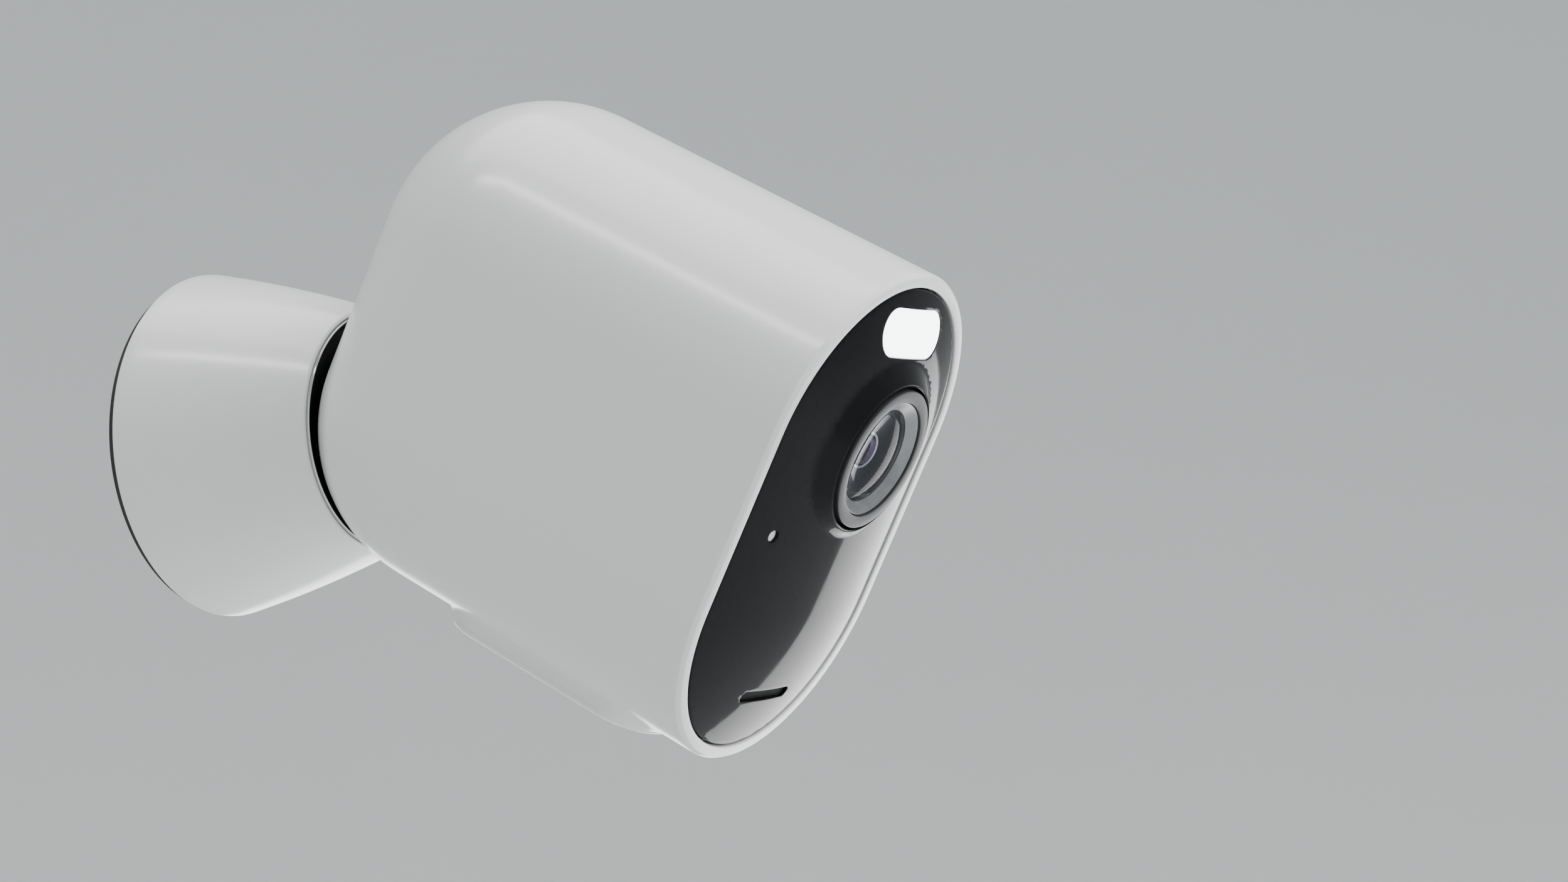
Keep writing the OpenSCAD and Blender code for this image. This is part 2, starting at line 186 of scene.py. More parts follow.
# %% The moulded recipe
def moulded(name, light, dark, gloss, drift=0.06, grain_mm=0.25, grain_depth=0.01, coat=0.0,
            smears=0.05):
    f = Finish(name)
    patches = f.noise(55, 3)
    grain = f.noise(1 / (grain_mm * MM), 2)
    streaks = f.noise(160, 4, stretch=(1, 0.35, 1))
    smear = f.node("ValToRGB", {"stops": [(0.52, 0), (0.68, 1)]}, {"Fac": streaks})
    colour = f.colour_mix(patches * 0.8 + grain * 0.2, dark, light)
    rough = gloss + (patches - 0.5) * drift + (grain - 0.5) * drift * 0.6 + smear * smears
    waves = f.bump(patches, 0.06, 0.05)
    pores = f.bump(grain, 0.35, grain_depth, waves)
    return f.surface(Base_Color=colour, Roughness=rough, Normal=pores, Coat_Weight=coat,
                     Coat_Roughness=0.12)


white_plastic = moulded("white_satin_plastic", tone(0.85, 0.85, 0.84), tone(0.825, 0.825, 0.815),
                        0.25, drift=0.02, coat=0.25, smears=0.008)
grille_black = moulded("grille_cloth_black", tone(0.008), tone(0.004), 0.8, grain_mm=0.3,
                       grain_depth=0.08)
dark_plastic = moulded("dark_moulded_plastic", tone(0.035), tone(0.022), 0.42, grain_depth=0.02)
mount_plastic = moulded("grey_structural_plastic", tone(0.10), tone(0.07), 0.5, grain_depth=0.03)
pad_rubber = moulded("wall_pad_rubber", tone(0.03), tone(0.018), 0.75, grain_mm=0.4,
                     grain_depth=0.05)
seal_rubber = moulded("seal_rubber", tone(0.02), tone(0.012), 0.55, grain_mm=0.2,
                      grain_depth=0.015)
reflector_white = moulded("reflector_white", tone(0.92), tone(0.86), 0.2, coat=0.4)
wrap = moulded("battery_wrap", tone(0.06), tone(0.04), 0.3, grain_mm=0.6, grain_depth=0.02,
               coat=0.3)
print("materials so far:", len(bpy.data.materials))

# %% [markdown]
# ## The black face
# The face is one piece of hard black plastic, polished like a piano key. It has almost no grain. What
# makes it look real is a very slight waviness, a few faint smears and some dust that only shows where
# the light grazes it.


# %% Face finish
def polished_face():
    f = Finish("face_gloss_black")
    waves = f.noise(40, 1)
    smears = f.noise(230, 5, stretch=(1, 1, 0.3))
    smear = f.node("ValToRGB", {"stops": [(0.50, 0), (0.75, 1)]}, {"Fac": smears})
    specks = f.node("TexVoronoi", {"feature": "F1"}, {"Vector": f.place(), "Scale": 900.0})
    dust = f.node("ValToRGB", {"stops": [(0.035, 1), (0.06, 0)]}, {"Fac": specks})
    colour = f.colour_mix(dust * 0.35, tone(0.006, 0.006, 0.007), tone(0.09))
    rough = 0.07 + smear * 0.05 + dust * 0.3
    return f.surface(Base_Color=colour, Roughness=rough, IOR=1.22, Normal=f.bump(waves, 0.05, 0.03))


face_black = polished_face()
print("face finish:", face_black.name)

# %% [markdown]
# ## Turned and plated metal
# A turned ring keeps the hair-fine circles of the cutting tool. They are drawn from the distance to
# the ring's own axis, so the axis has to be given. Plated steel has straight, stretched streaks.

# %% Metals
LENS_UP = 25.9
lens_axis = camera_place @ Vector((0, 0, LENS_UP))


def turned_metal(name, light, dark, gloss, metal, centre, turn, pitch_mm=0.09, depth_mm=0.004):
    f = Finish(name)
    seen = f.place(centre, turn)
    drift = f.noise(260, 3, where=seen)
    circles = (f.from_axis(seen) * (2 * math.pi / (pitch_mm * MM)) + drift * 6).sine()
    colour = f.colour_mix(drift * 0.7 + circles * 0.15 + 0.15, dark, light)
    rough = gloss + (drift - 0.5) * 0.12 + circles * 0.03
    return f.surface(Base_Color=colour, Roughness=rough, Metallic=metal,
                     Normal=f.bump(circles, 0.3, depth_mm))


def plated(name, light, dark, gloss):
    f = Finish(name)
    streaks = f.noise(1600, 3, stretch=(1, 0.08, 1))
    cloud = f.noise(90, 3)
    colour = f.colour_mix(streaks * 0.5 + cloud * 0.5, dark, light)
    rough = gloss + (streaks - 0.5) * 0.14 + (cloud - 0.5) * 0.1
    return f.surface(Base_Color=colour, Roughness=rough, Metallic=1.0,
                     Normal=f.bump(streaks, 0.2, 0.006))


ring_metal = turned_metal("lens_ring_satin", tone(0.07, 0.073, 0.076), tone(0.04, 0.041, 0.043),
                          0.36, 0.45, lens_axis, (NOSE_DOWN, 0, 0))
hood_metal = turned_metal("lens_hood_satin", tone(0.30, 0.31, 0.32), tone(0.18, 0.185, 0.19),
                          0.3, 0.6, lens_axis, (NOSE_DOWN, 0, 0), pitch_mm=0.16, depth_mm=0.006)
LIP_RADIUS = 2.72


def stopped_down():
    """Black satin like the inside of a lens, with a bright turned lip round the hole."""
    f = Finish("aperture_black_bright_lip")
    seen = f.place(lens_axis, (NOSE_DOWN, 0, 0))
    body = f.from_axis(seen).above(LIP_RADIUS * MM)
    cloud = f.noise(900, 3, where=seen)
    colour = f.colour_mix(body, tone(0.9, 0.9, 0.93), tone(0.012))
    return f.surface(Base_Color=colour, Roughness=0.16 + body * 0.25 + cloud * 0.08,
                     Metallic=1.0 - body, Normal=f.bump(cloud, 0.2, 0.004))


aperture_metal = stopped_down()
dish_chrome = turned_metal("dish_polished", tone(0.82, 0.83, 0.85), tone(0.7, 0.71, 0.73),
                           0.09, 1.0, (0, 0, 0), (0, 0, 0), pitch_mm=0.3, depth_mm=0.0015)
steel = plated("plated_steel", tone(0.60, 0.61, 0.63), tone(0.42, 0.43, 0.45), 0.3)
gold = plated("contact_gold", tone(0.95, 0.72, 0.32), tone(0.8, 0.56, 0.22), 0.2)
board_alu = plated("lamp_board_metal", tone(0.7), tone(0.55), 0.35)
print("materials so far:", len(bpy.data.materials))

# %% [markdown]
# ## Glass, lamps and circuit boards
# Camera glass is coated, so its highlights turn faintly violet. The element behind it is painted
# black for the shade deep in the lens, with a painted violet glint on it. The lamp window is frosted
# acrylic, lit from behind by a row of chips and brightest over each chip. A circuit board is green
# lacquer over copper tracks, which show as faint raised lines.


# %% Glass, lamps and boards
def coated_glass(name, tint, glint, bend, clear=1.0, gloss=0.012):
    f = Finish(name)
    haze = f.noise(300, 4)
    smear = f.node("ValToRGB", {"stops": [(0.55, 0), (0.8, 1)]}, {"Fac": haze})
    colour = f.colour_mix(haze * 0.4, tint, tuple(0.85 * c for c in tint[:3]) + (1,))
    return f.surface(Base_Color=colour, Roughness=gloss + smear * 0.03, Transmission_Weight=clear,
                     IOR=bend, Specular_Tint=glint, Normal=f.bump(f.noise(80, 1), 0.02, 0.01))


# Where the painted violet glint sits on the inner element, in mm across and up from the lens axis.
GLINT_SIDE, GLINT_RISE = 1.2, 0.5


def black_with_painted_glint():
    """The inner lens element, painted black for the shade deep in the lens, with a painted violet
    glint that has an amber rim.
    """
    f = Finish("inner_glass_painted_glint")
    centre = camera_place @ Vector((GLINT_SIDE, 0, LENS_UP + GLINT_RISE))
    seen = f.place(centre, (NOSE_DOWN, 0, 0))
    away = f.from_axis(seen) / MM
    cloud = f.noise(600, 2, where=seen)
    # Painted glint: a violet spot with an amber rim at a fixed place. The black base around it is
    # painted shade.
    glint_spot = f.node("ValToRGB", {"stops": [(0.35, 1), (0.75, 0)]},
                   {"Fac": away * 0.6 + cloud * 0.15})
    rim = f.node("ValToRGB", {"stops": [(0.48, 0), (0.58, 1), (0.72, 0)]},
                 {"Fac": away * 0.5 + cloud * 0.1})
    violet = f.colour_mix(glint_spot, tone(0.006, 0.006, 0.009), tone(0.42, 0.24, 0.62))
    colour = f.colour_mix(rim * 0.5, violet, tone(0.42, 0.26, 0.14))
    return f.surface(Base_Color=colour, Roughness=0.09 + cloud * 0.05, Metallic=glint_spot * 0.6,
                     Normal=f.bump(cloud, 0.05, 0.005))


WINDOW_UP, FACET_PITCH, CHIP_PITCH = 44.4, 0.7, 3.6


def lit_window(name, power):
    f = Finish(name)
    x, z = f.across_and_up(f.place(camera_place @ Vector((0, 0, WINDOW_UP)), (NOSE_DOWN, 0, 0)))
    across, upright = ((way * (2 * math.pi / (FACET_PITCH * MM))).sine() for way in (x, z))
    facets = across * upright
    over_chip = (x * (2 * math.pi / (CHIP_PITCH * MM))).sine()
    glow = f.colour_mix(over_chip * 0.12 + facets * 0.06 + 0.5, tone(0.86, 0.92, 1.0), tone(1.0))
    return f.surface(Base_Color=tone(0.9), Roughness=0.25 + facets * 0.05,
                     Normal=f.bump(facets, 0.5, 0.05), Emission_Color=glow, Emission_Strength=power)


def circuit_board():
    f = Finish("circuit_board_green")
    seen = f.place(turn=(NOSE_DOWN, 0, 0))
    cells = f.node("TexVoronoi", {"feature": "DISTANCE_TO_EDGE"}, {"Vector": seen, "Scale": 420.0},
                   output="Distance")
    tracks = f.node("ValToRGB", {"stops": [(0.02, 1), (0.05, 0)]}, {"Fac": cells})
    cloud = f.noise(200, 3)
    colour = f.colour_mix(tracks * 0.6 + cloud * 0.2, tone(0.008, 0.07, 0.032),
                          tone(0.04, 0.19, 0.07))
    return f.surface(Base_Color=colour, Roughness=0.24 + cloud * 0.12,
                     Normal=f.bump(tracks, 0.4, 0.03), Coat_Weight=0.4, Coat_Roughness=0.1)


def phosphor():
    f = Finish("lamp_chip_phosphor")
    cloud = f.noise(2500, 3)
    colour = f.colour_mix(cloud, tone(0.95, 0.72, 0.16), tone(1.0, 0.85, 0.35))
    return f.surface(Base_Color=colour, Roughness=0.35 + cloud * 0.2, Normal=f.bump(cloud, 0.4, 0.02))


front_glass = coated_glass("front_glass_coated", tone(0.62, 0.64, 0.68), tone(0.6, 0.45, 0.8), 1.12)
inner_glass = black_with_painted_glint()
sensor_glass = coated_glass("sensor_window_milky", tone(0.85, 0.87, 0.9), tone(1), 1.49, 0.15, 0.06)
lamp_window = lit_window("spotlight_window_lit", 6.0)
board_green = circuit_board()
led_phosphor = phosphor()
print("materials so far:", len(bpy.data.materials))

# %% [markdown]
# ## Finishing a mesh
# Every new piece ends the same way. Points that lie on each other are merged, the faces are turned
# outwards, and the piece is put in its place. Then it rides on its CAD body and stands for its node.


# %% Shared steps
def tidy(bm):
    bmesh.ops.remove_doubles(bm, verts=bm.verts, dist=0.002)
    bmesh.ops.recalc_face_normals(bm, faces=bm.faces)


def round_edges(bm, size, segments=3, over=30, ahead_of=-1000):
    """Rounds each edge sharper than the given angle, if it lies far enough forward."""
    tidy(bm)
    sharp = [e for e in bm.edges
             if len(e.link_faces) == 2 and e.calc_face_angle(0) > math.radians(over)
             and all(-v.co.y > ahead_of for v in e.verts)]
    bmesh.ops.bevel(bm, geom=sharp, offset=size, offset_type="OFFSET", segments=segments,
                    profile=0.5, affect="EDGES", material=-1, clamp_overlap=True)
    return bm


def finish_piece(name, bm, material, body, stands_for, place=camera_place, crease=38):
    tidy(bm)
    bm.transform(place)
    mesh = bpy.data.meshes.new(name)
    bm.to_mesh(mesh)
    bm.free()
    mesh.shade_smooth()
    mesh.set_sharp_from_angle(angle=math.radians(crease))
    mesh.materials.append(material)
    piece = bpy.data.objects.new(name, mesh)
    bpy.context.collection.objects.link(piece)
    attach(piece, body)
    if stands_for:
        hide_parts(stands_for)
    loose = sum(1 for e in mesh.edges if e.is_loose)
    print(f"{name}: {len(mesh.polygons)} faces, {loose} loose edges")


# %% [markdown]
# ## Turned parts
# A turned part is half its outline spun once round. The outline is a few corners, each given by its
# radius and its distance forward. Rounding the corners afterwards keeps the outline short.


# %% Turning
def turned(corners, up=0.0, side=0.0, steps=128):
    """Spins an outline round an axis that runs forward at (side, up)."""
    bm = bmesh.new()
    points = [bm.verts.new((side + r, -forward, up)) for r, forward in corners]
    solid = corners[0][0] == 0 and corners[-1][0] == 0
    ends = [] if solid else [(points[-1], points[0])]
    wire = [bm.edges.new(pair) for pair in list(zip(points, points[1:])) + ends]
    bmesh.ops.spin(bm, geom=points + wire, cent=(side, 0, up), axis=(0, 1, 0), angle=2 * math.pi,
                   steps=steps, use_merge=True)
    tidy(bm)
    return bm


def bow(start, end, rise, count=16):
    """Corners along a shallow bulge between two corners."""
    (r1, u1), (r2, u2) = start, end
    length = math.hypot(r2 - r1, u2 - u1)
    out = ((u2 - u1) / length, -(r2 - r1) / length)
    made = []
    for n in range(count + 1):
        t = n / count
        lift = 4 * rise * t * (1 - t)
        made.append((r1 + (r2 - r1) * t + out[0] * lift, u1 + (u2 - u1) * t + out[1] * lift))
    return made


cone_side = bow((28, 1.2), (19.4, 31.9), 0.5)
print("the cone's side:", len(cone_side), "corners")

# %% [markdown]
# ## The cone of the mount
# The cover is a thin cone with a barely swollen side and a rounded white lip. A dark gap shows where
# it stands off the wall. The dish in its mouth is a shallow bowl, with a rim that is almost sharp.

# %% Cone and dish
cone = turned(cone_side + [(18.76, 31.9), (18.76, 21.6), (26.0, 1.2)], steps=160)
finish_piece("cone_shell", round_edges(cone, 0.4, 4, over=40), white_plastic, "wall_mount",
             "cone_cover", mount_place)

DISH_CENTRE, DISH_RADIUS = 56.008, 31.45
dish_wall = [(r, DISH_CENTRE - math.sqrt(DISH_RADIUS ** 2 - r * r))
             for r in (17.55, 15, 12, 9, 6, 3, 0)]
dish = turned([(0, 22.5), (18.7, 22.5), (18.7, 32.25), (18.47, 32.25)] + dish_wall, steps=160)
finish_piece("dish_polished", round_edges(dish, 0.1, 3, over=25), dish_chrome, "wall_mount",
             "dish_cup", mount_place)

# %% [markdown]
# ## Long rounded parts
# The housing's outline is two half circles joined by straight sides. A part that follows it is made
# by spinning a small profile half way round, pulling it up the side, spinning it over the top and
# pulling it back down. The trim ring and the seal share this path.

# %% Sweeping round the capsule
RISE = 27.2


def swept(corners):
    """Sweeps an outline round two half circles, one straight above the other."""
    bm = bmesh.new()
    points = [bm.verts.new((r, -forward, 0)) for r, forward in corners]
    moving = points + [bm.edges.new(pair) for pair in zip(points, points[1:] + points[:1])]
    for centre, lift in ((0, RISE), (RISE, -RISE)):
        bent = bmesh.ops.spin(bm, geom=moving, cent=(0, 0, centre), axis=(0, 1, 0), angle=math.pi,
                              steps=64)
        edges = [g for g in bent["geom_last"] if isinstance(g, bmesh.types.BMEdge)]
        pulled = bmesh.ops.extrude_edge_only(bm, edges=edges)["geom"]
        verts = [g for g in pulled if isinstance(g, bmesh.types.BMVert)]
        bmesh.ops.translate(bm, verts=verts, vec=(0, 0, lift))
        moving = verts + [g for g in pulled if isinstance(g, bmesh.types.BMEdge)
                          and all(v in set(verts) for v in g.verts)]
    tidy(bm)
    return bm


trim = swept([(23.85, 57.4), (26, 57.4), (26, 58.8), (25.5, 59.5), (24.0, 59.5), (23.85, 59.3)])
finish_piece("trim_bezel", round_edges(trim, 0.18, 3, over=20, ahead_of=58), white_plastic,
             "housing", "trim_ring")

seal_lips = [(22.62, 49.4), (23.3, 49.4), (23.5, 49.7), (23.3, 50.0), (22.95, 50.15),
             (22.95, 50.75), (23.3, 50.9), (23.5, 51.2), (23.3, 51.5), (22.62, 51.5)]
finish_piece("seal_ring", swept(seal_lips), seal_rubber, "module", "module_gasket",
             crease=60)

# %% [markdown]
# ## A pressed sheet with openings
# The face has a swelling dome, a raised collar and four openings with soft edges. Its outlines are
# drawn flat, as loops. Close loops run round each edge, and the middle is filled and then cut into
# a fine grid. Last, every point is lifted to the height of the surface, less its fall at an edge.


# %% Sheet helpers
def outline(bm, fall, radius, gap, centre, lying, drop, steps=96):
    """A flat loop of two half circles, with the fall of its points noted."""
    verts = bmesh.ops.create_circle(bm, segments=steps, radius=radius)["verts"]
    bmesh.ops.rotate(bm, verts=verts, cent=(0, 0, 0),
                     matrix=Matrix.Rotation(math.pi / steps, 3, "Z"))
    bmesh.ops.translate(bm, verts=[v for v in verts if v.co.y > 0], vec=(0, gap, 0))
    bmesh.ops.translate(bm, verts=verts, vec=(0, -gap / 2, 0))
    if lying:
        bmesh.ops.rotate(bm, verts=verts, cent=(0, 0, 0),
                         matrix=Matrix.Rotation(math.pi / 2, 3, "Z"))
    bmesh.ops.translate(bm, verts=verts, vec=(*centre, 0))
    for v in verts:
        v[drop] = fall
    return list({e for v in verts for e in v.link_edges})


def soft_edge(size, count=4):
    """Steps in from an edge, each with how far it falls there."""
    angles = [math.pi / 2 * n / count for n in range(count + 1)]
    return [(size - size * math.cos(a), size - size * math.sin(a)) for a in angles]


def pressed_sheet(rim, openings, height, back, grid=1.0):
    """A plate with soft-edged openings whose front follows a height and whose back is flat."""
    bm = bmesh.new()
    drop = bm.verts.layers.float.new("drop")
    inner_loops = []
    for n, shape in enumerate([rim] + openings):
        way = -1 if n == 0 else 1
        loops = [outline(bm, fall, shape["radius"] + way * step, shape.get("gap", 0),
                         shape.get("centre", (0, 0)), shape.get("lying", False), drop,
                         shape.get("steps", 96))
                 for step, fall in shape["edge"]]
        for a, b in zip(loops, loops[1:]):
            bmesh.ops.bridge_loops(bm, edges=a + b)
        inner_loops += loops[-1]
    bmesh.ops.triangle_fill(bm, use_beauty=True, edges=inner_loops, normal=(0, 0, 1))
    reach = rim["radius"]
    tall = reach + rim.get("gap", 0) / 2
    for axis, span in (((1, 0, 0), reach), ((0, 1, 0), tall)):
        lines = int(span / grid)
        for n in range(-lines, lines + 1):
            bmesh.ops.bisect_plane(bm, geom=bm.verts[:] + bm.edges[:] + bm.faces[:], dist=1e-4,
                                   plane_co=Vector(axis) * n * grid, plane_no=axis)
    edge = [e for e in bm.edges if e.is_boundary]
    for v in bm.verts:
        v.co.z = height(v.co.x, v.co.y) - v[drop]
    walls = bmesh.ops.extrude_edge_only(bm, edges=edge)["geom"]
    for v in (g for g in walls if isinstance(g, bmesh.types.BMVert)):
        v.co.z = back
    ends = [g for g in walls if isinstance(g, bmesh.types.BMEdge) and g.is_boundary]
    bmesh.ops.triangle_fill(bm, use_beauty=True, edges=ends, normal=(0, 0, -1))
    return bm


print("soft edge of 0.2 mm:", [tuple(round(v, 3) for v in s) for s in soft_edge(0.2)])

# %% [markdown]
# ## The face
# The dome rises 3.7 mm to its middle line. Round the lens it climbs a steep skirt to a flat-topped
# collar. A smooth maximum joins the two, as the fillet on the real moulding does.

# %% Face panel
DOME_TOP, DOME_RADIUS, HALF_RISE = 63.0, 76.8, RISE / 2
COLLAR_TOP, COLLAR_EDGE, SKIRT_SLOPE = 64.0, 11.75, 0.77
LIP_FALL, LIP_REACH, JOIN_BLEND = 0.16, 0.25, 0.22
SLOT_UP, DOT_SIDE, DOT_UP = -14, -17.3, 12.4
FACE_BACK, WINDOW_BACK = 56.3, 58.4


def dome_height(x, up):
    """How far forward the dome lies. Here up is measured from the middle of the face."""
    over = max(abs(up) - HALF_RISE, 0)
    return DOME_TOP - DOME_RADIUS + math.sqrt(DOME_RADIUS ** 2 - x * x - over * over)


def face_height(x, up):
    away = math.hypot(x, up + HALF_RISE - LENS_UP)
    skirt = COLLAR_TOP - max(away - COLLAR_EDGE, 0) * SKIRT_SLOPE
    round_off = LIP_FALL * max(0, 1 - abs(away - COLLAR_EDGE) / LIP_REACH) ** 2
    low = dome_height(x, up)
    mixed = max(0.0, min(1.0, 0.5 + (skirt - low) / (2 * JOIN_BLEND)))
    joined = low + (skirt - low) * mixed + JOIN_BLEND * mixed * (1 - mixed)
    return joined - round_off * mixed


collar_steps = [(step, max(0, 0.12 - step)) for step in
                (0, 0.04, 0.12, 0.18, 0.25, 0.32, 0.42, 0.6, 0.9, 1.2, 1.5, 1.8, 2.1, 2.4, 2.7, 3.0)]
face_rim = {"radius": 23.55, "gap": RISE, "edge": soft_edge(0.25), "steps": 160}
face_openings = [
    {"radius": 11.5, "centre": (0, LENS_UP - HALF_RISE), "edge": collar_steps, "steps": 128},
    {"radius": 3.55, "gap": 11, "lying": True, "centre": (0, WINDOW_UP - HALF_RISE),
     "edge": soft_edge(0.1, 3)},
    {"radius": 0.9, "gap": 12, "lying": True, "centre": (0, SLOT_UP - HALF_RISE),
     "edge": soft_edge(0.16), "steps": 48},
    {"radius": 0.95, "centre": (DOT_SIDE, DOT_UP - HALF_RISE), "edge": soft_edge(0.08, 3),
     "steps": 32},
]
face = pressed_sheet(face_rim, face_openings, face_height, FACE_BACK)
stand_up = Matrix.Rotation(math.pi / 2, 4, "X")
finish_piece("face_dome", face, face_black, "module", "face_panel",
             camera_place @ Matrix.Translation((0, 0, HALF_RISE)) @ stand_up)

# %% [markdown]
# ## The lit window
# The window is a pill of frosted acrylic that follows the dome just under its surface. It is made by
# the same steps as the face, with no openings. The row of chips behind it lights it from edge to
# edge. The small window of the light sensor is a turned dot with a round front.

# %% Window and sensor dot
window_rim = {"radius": 3.48, "gap": 11, "edge": soft_edge(0.12, 3), "steps": 64}


def window_height(x, up):
    """The dome's height under the window. The pill is drawn standing, so its sides are swapped."""
    return dome_height(up, x + WINDOW_UP - HALF_RISE) - 0.06


window = pressed_sheet(window_rim, [], window_height, WINDOW_BACK, grid=0.8)
lie_down = Matrix.Rotation(math.pi / 2, 4, "Z")
finish_piece("lamp_window", window, lamp_window, "module", "spotlight_window",
             camera_place @ Matrix.Translation((0, 0, WINDOW_UP)) @ stand_up @ lie_down)

dot_front = [(r, 60.85 - 0.16 * r * r) for r in (0.7, 0.5, 0.3, 0)]
dot = turned([(0, WINDOW_BACK), (0.88, WINDOW_BACK), (0.88, 60.72)] + dot_front, up=DOT_UP,
             side=DOT_SIDE, steps=48)
finish_piece("sensor_dot", dot, sensor_glass, "module", "light_sensor_window")

# %% [markdown]
# ## The lens
# A flat satin ring and a lighter cone step down to the glass, which swells like a watch crystal. The
# glass is one solid piece down to the aperture, so nothing pale lies between the two. Fine dark gaps
# part the rings, so their edges are rounded very little. All three are turned.

# %% Lens parts
ring = turned([(9.1, 60), (11.45, 60), (11.45, 61), (11.0, 61), (11.0, 64.3), (9.1, 64.3)],
              up=LENS_UP)
finish_piece("lens_ring", round_edges(ring, 0.13), ring_metal, "module", "lens_trim_ring")

hood = turned([(7.36, 60), (9.03, 60), (9.03, 63.95), (8.85, 63.95), (8.4, 63.5), (7.36, 62.82)],
              up=LENS_UP)
finish_piece("lens_hood", round_edges(hood, 0.08), hood_metal, "module", "lens_hood_ring")

GLASS_R, GLASS_TOP, GLASS_CURVE, GLASS_STEP = 7.3, 64.1, 19.7, 0.456


def crystal(r):
    return GLASS_TOP - GLASS_CURVE + math.sqrt(GLASS_CURVE ** 2 - r * r)


glass_back = [(0, 60.3), (2.4, 60.3), (5.9, 61.08), (5.9, 61.2), (GLASS_R, 61.2)]
glass_radii = [GLASS_R - GLASS_STEP * n for n in range(16)]
glass = turned(glass_back + [(r, crystal(r)) for r in glass_radii] + [(0, GLASS_TOP)], up=LENS_UP)
finish_piece("lens_crystal", glass, front_glass, "module", "lens_front_glass",
             crease=30)

# %% [markdown]
# ## The foot under the housing
# The foot pad drops out of the round belly. On the real moulding it doesn't meet the belly at a hard
# line. A fillet runs round it, tight at the back and long at the front. It is a band of loops that
# start on the pad's side and spread until they sink into the shell.

# %% Foot fillet
SHELL_R = 26.0
FOOT_REAR, FOOT_LONG, FOOT_R = 16.25, 24.25, 8.3
FILLET_TOP, FILLET_INSIDE, FILLET_STEPS = 27.2, 24.9, 12
SPREAD_SIDEWAYS, SPREAD_FORWARD, SUNK = 1.5, 3.6, 0.04


def foot_loop(bm, drop, spread):
    """A loop round the foot, pushed out by a share of the fillet's reach, and its points."""
    long = FOOT_LONG + SPREAD_FORWARD * spread
    edges = outline(bm, 0, FOOT_R + SPREAD_SIDEWAYS * spread, long, (0, FOOT_REAR + long / 2), False,
                    drop)
    return edges, {v for e in edges for v in e.verts}


def foot_fillet():
    bm = bmesh.new()
    drop = bm.verts.layers.float.new("drop")
    loops = []
    for n in range(FILLET_STEPS + 1):
        t = n / FILLET_STEPS
        edges, points = foot_loop(bm, drop, t)
        for v in points:
            belly = math.sqrt(SHELL_R ** 2 - v.co.x ** 2)
            v.co.z = belly - SUNK + (FILLET_TOP - belly) * (1 - t) ** 2.2
        loops.append(edges)
    edges, points = foot_loop(bm, drop, 0)
    for v in points:
        v.co.z = FILLET_INSIDE
    loops.append(edges)
    for a, b in zip(loops, loops[1:] + loops[:1]):
        bmesh.ops.bridge_loops(bm, edges=a + b)
    return bm


under = camera_place @ Matrix.Rotation(math.pi, 4, "X")
finish_piece("foot_fillet", foot_fillet(), white_plastic, "housing", None, under,
             crease=60)

# %% [markdown]
# ## The buttons
# The release button has a shallow finger dish inside a raised rim. The sync button is a small domed
# pin. Both are turned parts that point down.

# %% Buttons
RELEASE_FORWARD, SYNC_FORWARD = 17, 43.2
release = turned([(0, 23.3), (4.8, 23.3), (4.8, 24.8), (3.93, 24.8), (3.93, 27.65), (3.4, 27.65),
                  (3.1, 27.5), (2.2, 27.3), (1.1, 27.2), (0, 27.17)], steps=96)
finish_piece("release_dish", round_edges(release, 0.12, 3, over=35), dark_plastic,
             "release_button", "release_button", facing_down(RELEASE_FORWARD))
sync = turned([(0, 23.2), (1.2, 23.2), (1.2, 24.3), (2.38, 24.3), (2.38, 25.1), (1.68, 25.1),
               (1.68, 27.3), (1.2, 27.52), (0.6, 27.6), (0, 27.6)], steps=64)
finish_piece("sync_pin", round_edges(sync, 0.08, 2, over=40), dark_plastic, "sync_button",
             "sync_button", facing_down(SYNC_FORWARD))

# %% [markdown]
# ## Finishes for the parts from the frame
# The other parts keep the exact meshes of the CAD model and take one of the finishes above. The parts
# that were rebuilt get theirs too, so that no node is left bare.

# %% Finishes on the frame
painted = {
    white_plastic: ["housing_shell", "foot_pad", "cone_cover", "trim_ring"],
    dark_plastic: ["striker_bracket", "latch_bracket", "module_tray", "lens_barrel", "lens_holder",
                   "board_posts", "sync_switch", "speaker", "charge_port", "light_sensor",
                   "image_sensor", "release_button", "sync_button"],
    grille_black: ["slot_mesh"],
    mount_plastic: ["base_plate"],
    pad_rubber: ["wall_pad"],
    seal_rubber: ["grip_pad", "module_gasket"],
    steel: ["magnet", "magnet_yoke", "cup_screw", "striker_plate", "release_spring", "release_latch",
            "board_screws", "motion_sensor", "processor_shield", "radio_shield", "microphone"],
    dish_chrome: ["dish_cup"],
    gold: ["charge_contacts", "battery_contacts", "wifi_antenna"],
    face_black: ["face_panel"],
    ring_metal: ["lens_trim_ring"],
    hood_metal: ["lens_hood_ring"],
    aperture_metal: ["lens_aperture_ring"],
    front_glass: ["lens_front_glass"],
    inner_glass: ["lens_inner_element", "lens_rear_element", "infrared_leds"],
    sensor_glass: ["light_sensor_window"],
    lamp_window: ["spotlight_window"],
    reflector_white: ["spotlight_reflector", "status_led"],
    board_alu: ["spotlight_board"],
    led_phosphor: ["spotlight_leds"],
    board_green: ["sensor_board", "front_board", "main_board"],
    wrap: ["battery_pack"],
}
done = 0
for material, names in painted.items():
    for name in names:
        nodes[name].data.materials.clear()
        nodes[name].data.materials.append(material)
        done += 1
print("painted", done, "of", len(nodes), "nodes")

